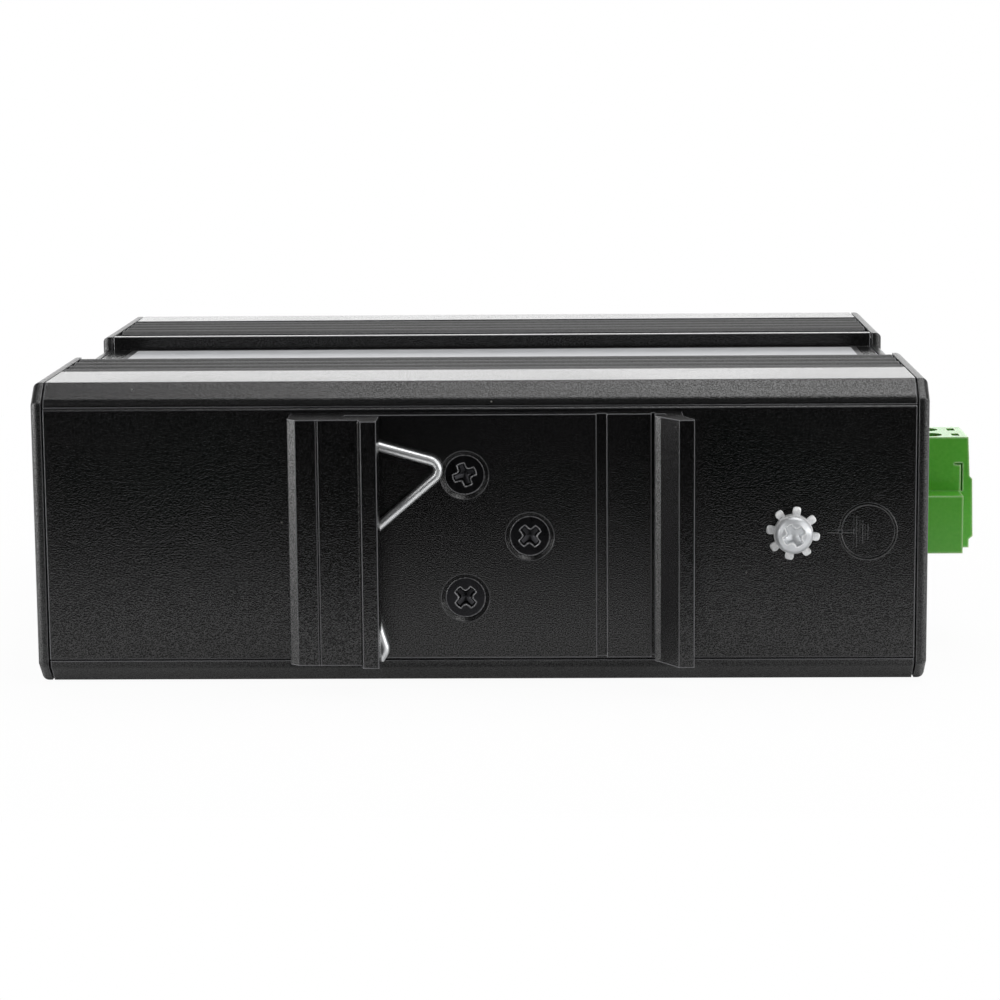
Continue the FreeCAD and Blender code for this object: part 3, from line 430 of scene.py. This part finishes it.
# The pan head's radii and heights over the washer, in millimetres: a low dome, the rim and the shank.
pan_profile = [
    (0, 1.98), (1.0, 1.94), (1.5, 1.84), (1.95, 1.64), (2.22, 1.36), (2.38, 0.95), (2.42, 0.5), (2.4, 0.12),
    (2.3, 0), (1.5, 0), (1.5, -5.6), (0, -5.6),
]
pan_profile = [(r * MM, z * MM) for r, z in pan_profile]
pan_recess = dict(phillips, width=1.0 * MM)
# The painted highlight lies in a fine ring round the recess and a wide one on the head's rim.
pan_screw, highlight_share = turned_screw(pan_profile, pan_recess, math.radians(32), rim_width=0.3 * MM)
washer_top = rear_face - 0.5 * MM
add_surface(
    "earth_pan_screw", [stand(pan_screw, (earth_x, washer_top, earth_z), (0, -1, 0))], bright_zinc,
    ["earth_screw"], [highlight_share],
)


def toothed_washer(inner, root, tip, thickness, teeth, first_tooth, twist):
    """An external-tooth washer about +Z, its lower face at zero, with teeth 1.24 mm wide.

    The outer radius swells from root to tip over each tooth. Round the ring's section go the inner wall,
    the top, the rounded outer edge and the bottom. Each tooth tilts in proportion to how far a point lies
    beside the tooth's middle, which twists it out of the ring's plane, so that its low corner bites a little
    into the face below.
    """
    spokes = 480
    half_tooth = 0.62 * MM / tip
    angle = np.linspace(0, 2 * math.pi, spokes, endpoint=False)
    beside = (angle - first_tooth + math.pi / teeth) % (2 * math.pi / teeth) - math.pi / teeth
    swell = smooth_step((half_tooth - np.abs(beside)) / (0.07 * half_tooth) + 0.5)
    corner = np.sqrt(1 - 0.75 * np.clip(np.abs(beside) / half_tooth, 0, 1) ** 4)
    outer = root + (tip - root) * swell * corner
    # The ring's section in shares of the way from the inner wall to the outer edge, and of the thickness.
    section = [
        (0, 0), (0, 1), (0.45, 1), (0.7, 1), (0.86, 1), (0.96, 0.92), (1, 0.7), (1, 0.3), (0.96, 0.08),
        (0.86, 0), (0.7, 0), (0.45, 0), (0, 0),
    ]
    rings = []
    for share, level in section:
        radius = inner + share * (outer - inner)
        reach = smooth_step((radius - root) / (tip - root) * 1.6)
        lift = twist * np.clip(beside, -half_tooth, half_tooth) * radius * reach * swell
        z = level * thickness + lift + np.max(np.abs(lift)) * 0.5
        rings.append(np.stack([radius * np.cos(angle), radius * np.sin(angle), z], -1))
    return np.stack(rings)


washer = toothed_washer(
    inner=1.6 * MM, root=2.38 * MM, tip=3.3 * MM, thickness=0.42 * MM, teeth=8,
    first_tooth=math.radians(36), twist=0.3,
)
# The whole washer takes the painted highlight: it is painted pale and barely metallic in place of its bright
# reflections.
add_surface(
    "earth_toothed_washer", [stand(washer, (earth_x, rear_face, earth_z), (0, -1, 0))], bright_zinc,
    ["earth_lock_washer"], [np.ones(washer.shape[:2])],
)

# ---- Earth sign ----------------------------------------------------------------
# The common earth sign beside the screw: a circle with a stem and three bars. It
# stands as a low raised bead under the panel's coat, so that only its edges show, and
# the coat's painted edge highlight runs along them.


def bead(path, closed):
    """A low flat-topped bead along a path in the panel's plane, 0.42 mm wide and 0.05 mm high.

    At each point its section, a flat crown with steep sides, is spread across the path's direction. The
    section is closed by a foot under the panel's face, so the grid has its rings lying across the bead.
    """
    section = MM * np.array([
        (0.21, -0.02), (0.21, 0.03), (0.19, 0.05), (0, 0.05), (-0.19, 0.05), (-0.21, 0.03), (-0.21, -0.02),
    ])
    path = np.array(path, float)
    ahead = np.roll(path, -1, axis=0) - np.roll(path, 1, axis=0) if closed else np.gradient(path, axis=0)
    ahead /= np.linalg.norm(ahead, axis=1)[:, None]
    beside = np.stack([-ahead[:, 1], ahead[:, 0]], -1)
    flat = path[:, None, :] + section[None, :, :1] * beside[:, None, :]
    level = np.broadcast_to(section[:, 1], flat.shape[:2])
    grid = np.concatenate([flat, level[..., None]], -1)
    return np.concatenate([grid, grid[:1]]) if closed else grid


def straight(start, end):
    """Points along a straight line, in millimetres."""
    return np.linspace(start, end, 12)


# In millimetres from the circle's middle: the circle, the stem that runs in from the screw's side, and the
# three bars across it, each with its place along the stem and half its length.
circle_radius = 3.4
circle_turns = np.linspace(0, 2 * math.pi, 72, endpoint=False)
circle = circle_radius * np.stack([np.cos(circle_turns), np.sin(circle_turns)], -1)
strokes = [(circle, True), (straight((-5.0, 0), (-1.6, 0)), False)]
for bar_x, bar_half in ((-1.58, 2.0), (-0.84, 1.5), (-0.2, 1.0)):
    strokes.append((straight((bar_x, -bar_half), (bar_x, bar_half)), False))
sign_centre = (housing_middle.x + 47.6 * MM, rear_face, housing_middle.z + 0.1 * MM)
sign_grids = []
for path, closed in strokes:
    sign_grids.append(stand(bead(path * MM, closed), sign_centre, (0, -1, 0)))
# The coat paints a pale edge highlight within 0.06 mm of the bead's edges.
sign_coat = textured_powder_coat("the raised sign", grain_mm=0.17, depth_mm=0.03, edge_mm=0.12, reach_mm=0.06)
add_surface("earth_sign", sign_grids, sign_coat)

# ---- Type label ----------------------------------------------------------------
# A satin silver polyester film stuck in the upper recess, with a thin printed
# border. It is bare inside the border.


def label_film():
    """Silvered polyester: bright, slightly metallic, with a printed line along its edge.

    Its tone wanders in broad clouds and its gloss in smaller ones, over a fine orange peel.
    """
    material, tree, shader = start_finish("satin silver polyester film", Metallic=0.35, IOR=1.6)
    low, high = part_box("type_label")
    middle = (low + high) / 2
    half = (high - low) / 2
    border_width = 0.8 * MM
    place = add(tree, "TexCoord", {}, "Object")
    place = add(tree, "VectorMath", {0: place, 1: middle}, operation="SUBTRACT")
    place = add(tree, "VectorMath", {0: place}, operation="ABSOLUTE")
    away = add(tree, "SeparateXYZ", {0: place}).node.outputs
    beyond_x = add(tree, "Math", {0: away["X"], 1: half.x - border_width}, operation="GREATER_THAN")
    beyond_y = add(tree, "Math", {0: away["Y"], 1: half.y - border_width}, operation="GREATER_THAN")
    border = add(tree, "Math", {0: beyond_x, 1: beyond_y}, operation="MAXIMUM")
    clouds = grain(tree, 6, detail=3.0)
    film = add(tree, "Mix", {0: clouds, 6: "bec0c3", 7: "cecfd2"}, 2, data_type="RGBA")
    colour = add(tree, "Mix", {0: border, 6: film, 7: "2b2b2d"}, 2, data_type="RGBA")
    tree.links.new(colour, shader.inputs["Base Color"])
    roughness = add(tree, "MapRange", {"Value": grain(tree, 3), "To Min": 0.3, "To Max": 0.42})
    tree.links.new(roughness, shader.inputs["Roughness"])
    relief(tree, shader, grain(tree, 0.8), 0.002, 0.03)
    return material


dress(label_film(), "type_label")

# ---- Circuit board -------------------------------------------------------------
# The glass-epoxy board stands on four brass pillars and is held by plated screws.
# Green solder mask covers its copper, and the tracks under it show as paler lines.


def solder_mask():
    """Green lacquer over copper tracks, which raise it a little and make it paler.

    The tracks are the joints of a brick pattern: 0.32 mm wide, in rows of 1.3 mm, with turns every 7 mm.
    """
    material, tree, shader = start_finish("green solder mask on glass-epoxy board", IOR=1.5, Roughness=0.3)
    place = add(tree, "TexCoord", {}, "Object")
    sizes = {"Scale": 1.0, "Brick Width": 7 * MM, "Row Height": 1.3 * MM, "Mortar Size": 0.32 * MM}
    tracks = add(tree, "TexBrick", {"Vector": place, **sizes}, "Fac", offset=0.37)
    colour = add(tree, "Mix", {0: tracks, 6: "0b3d1e", 7: "1a5e30"}, 2, data_type="RGBA")
    tree.links.new(colour, shader.inputs["Base Color"])
    relief(tree, shader, tracks, 0.03, 0.08)
    return material


# Free-cutting brass keeps the fine rings of the lathe tool.
turned_brass = grained_finish(
    "turned brass", ("b8944a", "d0ad62"), (0.22, 0.36), grain_mm=0.2, depth_mm=0.004, edge_mm=0.08,
    stretch=(30, 30, 1), Metallic=1.0,
)
dress(solder_mask(), "main_circuit_board")
dress(turned_brass, "board_standoffs")
dress(bright_zinc, "board_screws")

# ---- Chips, coils and cans on the board ----------------------------------------
# Black epoxy packages, a pressed ferrite coil, drawn aluminium cans and the soft
# silicone pad that carries the switch chip's heat to the upper side.


def moulded(name, colours, roughness, grain_mm, depth_mm):
    """A moulded or pressed body: an even colour with the dull grain of its mould."""
    return grained_finish(name, colours, roughness, grain_mm, depth_mm, edge_mm=0.1, detail=3.0, IOR=1.5)


epoxy = moulded("matt black epoxy package", ("151516", "202021"), (0.5, 0.62), 0.4, 0.008)
ferrite = moulded("pressed ferrite", ("2a2a2c", "3a3a3c"), (0.55, 0.67), 0.6, 0.02)
silicone = moulded("grey-blue silicone pad", ("7f93a6", "8ca0b2"), (0.7, 0.82), 1.5, 0.03)
# Deep drawing leaves fine upright streaks on the aluminium.
drawn_can = grained_finish(
    "drawn aluminium can", ("b4b6b8", "cbcccd"), (0.25, 0.4), grain_mm=0.3, depth_mm=0.004, edge_mm=0.1,
    stretch=(1, 1, 20), Metallic=1.0,
)
dress(epoxy, "switch_chip", "port_transformers", "supply_regulator")
dress(ferrite, "supply_inductor")
dress(silicone, "chip_heat_pad")
dress(drawn_can, "supply_capacitors", "clock_crystal")

# ---- Network jacks -------------------------------------------------------------
# Five jacks stand side by side behind the front panel. Each has a folded shell of
# tin-plated steel round a black moulding, eight gilt contacts and two light pipes.

# Rolled tinplate is pale, with streaks along the rolling direction.
tinplate = grained_finish(
    "tin-plated steel sheet", ("b9bbbc", "cfd0d1"), (0.24, 0.38), grain_mm=0.25, depth_mm=0.003, edge_mm=0.12,
    stretch=(24, 1, 1), Metallic=1.0,
)
# A thin gold plate over nickel keeps the bright, faintly patchy skin of the spring bronze.
gold = grained_finish(
    "gold plate on phosphor bronze", ("d9ae52", "e8c675"), (0.14, 0.26), grain_mm=0.5, depth_mm=0.002,
    edge_mm=0.05, Metallic=1.0,
)
black_moulding = moulded(
    "glass-filled black polyester moulding", ("121213", "1b1b1c"), (0.37, 0.49), 0.35, 0.006,
)


def light_pipe(name, colours):
    """A clear moulding with a frosted face, which spreads a lamp's light evenly."""
    return grained_finish(
        name, colours, (0.28, 0.45), grain_mm=0.2, depth_mm=0.004, edge_mm=0.12,
        IOR=1.49, Transmission_Weight=0.75,
    )


for number in range(1, 6):
    dress(tinplate, f"port_{number}_shield")
    dress(black_moulding, f"port_{number}_insert")
    dress(gold, f"port_{number}_contacts")
dress(light_pipe("frosted clear acrylic light pipe", ("cfe3c8", "e4efdf")), "port_light_pipes")
dress(light_pipe("green-tinted epoxy lamp", ("7fc98a", "a7dcae")), "power_light")
dress(black_moulding, "power_light_holder")

# ---- Power header and plug -----------------------------------------------------
# The header is soldered to the board, and the two-way plug is held to it by two
# screws. Both are green glass-filled nylon with a dull, faintly mottled skin.


def green_nylon():
    """Moulded green nylon: light goes a little way in, which softens it, and its edges are painted pale as a
    highlight.
    """
    material, tree, shader = start_finish(
        "green glass-filled nylon", IOR=1.53, Subsurface_Weight=0.12, Subsurface_Scale=0.6 * MM,
    )
    mottle = grain(tree, 0.5, detail=3.0)
    colour = add(tree, "Mix", {0: mottle, 6: "4ba12e", 7: "61b23c"}, 2, data_type="RGBA")
    # A pale green is painted along the outward edges as a highlight.
    colour = add(tree, "Mix", {0: edge_highlight_mask(tree, 0.3), 6: colour, 7: "b4dc9c"}, 2, data_type="RGBA")
    tree.links.new(colour, shader.inputs["Base Color"])
    roughness = add(tree, "MapRange", {"Value": mottle, "To Min": 0.2, "To Max": 0.29})
    tree.links.new(roughness, shader.inputs["Roughness"])
    relief(tree, shader, mottle, 0.012, 0.16)
    return material


nylon = green_nylon()
dress(nylon, "power_header", "power_plug_body")
dress(tinplate, "power_header_pins", "plug_contacts")
dress(bright_zinc, "plug_wire_clamps", "plug_clamp_screws", "plug_flange_screws")

# ---- Table, room and camera ----------------------------------------------------
# A white table under a broad overhead lamp. A low strip lamp and a broad fill lamp
# stand at each side and one lamp behind, before a low white backdrop. The room is
# dim in front of the rail side.


def table_top(x_reach, front_y, back_y):
    """A flat white sheet at the height of the object's lower side."""
    corners = [(-x_reach, front_y, 0), (x_reach, front_y, 0), (x_reach, back_y, 0), (-x_reach, back_y, 0)]
    mesh = bpy.data.meshes.new("table_top")
    mesh.from_pydata(corners, [], [(0, 1, 2, 3)])
    top = bpy.data.objects.new("table_top", mesh)
    bpy.context.scene.collection.objects.link(top)
    return top


def white_laminate():
    """White to the eye and in reflections, with only a faint shadow where the object stands.

    A camera ray sees plain white glow in place of the lit sheet, by a share that grows from 0.95 near the
    object to 1 at 0.25 m from it, where the shadow has faded out. A mirrored ray sees 0.15 of the glow.
    """
    white = linear("f2f2f2")
    material, tree, shader = start_finish("white table laminate", Base_Color=white, Roughness=0.8)
    rays = add(tree, "LightPath", {}).node.outputs
    directly = {0: rays["Is Camera Ray"], 1: rays["Is Transmission Ray"]}
    seen = add(tree, "Math", directly, operation="MAXIMUM")
    mirrored = add(tree, "Math", {0: rays["Is Glossy Ray"], 1: 0.15}, operation="MULTIPLY")
    place = add(tree, "TexCoord", {}, "Object")
    away = add(tree, "VectorMath", {0: place}, "Value", operation="LENGTH")
    inputs = {"Value": away, "From Min": 0.1, "From Max": 0.25, "To Min": 0.95, "To Max": 1}
    seen = add(tree, "Math", {0: seen, 1: add(tree, "MapRange", inputs)}, operation="MULTIPLY")
    amount = add(tree, "Math", {0: seen, 1: mirrored}, operation="MAXIMUM")
    glow = add(tree, "Emission", {"Color": "ffffff", "Strength": 1.0})
    mixed = add(tree, "MixShader", {0: amount, 1: shader.outputs[0], 2: glow})
    tree.links.new(mixed, tree.nodes["Material Output"].inputs["Surface"])
    return material


def soft_lamp(name, at, towards, width, height, brightness):
    """A rectangular lamp of even brightness, where 1 is the brightness of white paper."""
    lamp = bpy.data.lights.new(name, "AREA")
    lamp.shape = "RECTANGLE"
    lamp.size = width
    lamp.size_y = height
    lamp.energy = brightness * math.pi * width * height
    holder = bpy.data.objects.new(name, lamp)
    holder.location = at
    holder.rotation_euler = (Vector(towards) - Vector(at)).to_track_quat("-Z", "Y").to_euler()
    holder.visible_camera = False
    bpy.context.scene.collection.objects.link(holder)


def white_room(front, back):
    """The room: white to the camera. To the object it is a low white backdrop behind, and dim elsewhere.

    With the direction's Y from -0.35 to 0.55 its light grows from front to back, and with its Z from 0.2
    to 0.42 it falls to 0.3 of that. Above the horizon it is never less than the walls, which give 0.13.
    """
    world = bpy.data.worlds.new("white_room")
    bpy.context.scene.world = world
    world.use_nodes = True
    tree = world.node_tree
    direction = add(tree, "SeparateXYZ", {0: add(tree, "TexCoord", {}, "Generated")}).node.outputs
    inputs = {"Value": direction["Y"], "From Min": -0.35, "From Max": 0.55, "To Min": front, "To Max": back}
    sideways = add(tree, "MapRange", inputs)
    inputs = {"Value": direction["Z"], "From Min": 0.2, "From Max": 0.42, "To Min": 1, "To Max": 0.3}
    upward = add(tree, "MapRange", inputs)
    light = add(tree, "Math", {0: sideways, 1: upward}, operation="MULTIPLY")
    inputs = {"Value": direction["Z"], "From Min": -0.02, "From Max": 0.15, "To Min": 0, "To Max": 0.13}
    walls = add(tree, "MapRange", inputs)
    light = add(tree, "Math", {0: light, 1: walls}, operation="MAXIMUM")
    seen = add(tree, "LightPath", {}, "Is Camera Ray")
    background = tree.nodes["Background"]
    background.inputs["Color"].default_value = linear("ffffff")
    tree.links.new(add(tree, "Mix", {0: seen, 2: light, 3: 1.0}), background.inputs["Strength"])


# The table ends 65 mm in front of the rail side, and the white room takes over there.
table = table_top(1.2, rear_face - 0.065, 1.8)
table.data.materials.append(white_laminate())
middle = Vector((0, 0, housing_middle.z))
soft_lamp("overhead_lamp", (0.11, 0.12, 0.62), middle, 0.8, 0.55, 2.6)
soft_lamp("left_strip", (-0.6, -0.2, 0.07), middle, 0.6, 0.14, 8.5)
soft_lamp("left_fill", (-0.7, -0.45, 0.35), middle, 0.9, 0.7, 1.4)
soft_lamp("right_strip", (0.6, -0.2, 0.07), middle, 0.6, 0.14, 3.4)
soft_lamp("right_fill", (0.7, -0.45, 0.35), middle, 0.9, 0.7, 1.4)
soft_lamp("back_lamp", (0, 0.9, 0.15), middle, 1.2, 0.3, 1.15)
white_room(front=0.005, back=0.82)

# A long lens, 0.36 m in front of the rail side and 79 mm above the table. It looks a little down and to the
# left, and leans by half a degree.
camera_data = bpy.data.cameras.new("camera")
camera_data.lens = 107.3
camera_data.sensor_width = 36.0
camera_data.clip_start = 0.01
camera = bpy.data.objects.new("camera", camera_data)
bpy.context.scene.collection.objects.link(camera)
camera_place = (housing_middle.x + 11.49 * MM, rear_face - 360.82 * MM, 79.25 * MM)
turned_left = Matrix.Rotation(math.radians(1.419), 4, "Z")
tipped_down = Matrix.Rotation(math.radians(90 - 8.870), 4, "X")
leaning = Matrix.Rotation(math.radians(-0.476), 4, "Z")
camera.matrix_world = Matrix.Translation(camera_place) @ turned_left @ tipped_down @ leaning
bpy.context.scene.camera = camera
bpy.context.scene.view_settings.view_transform = "Standard"
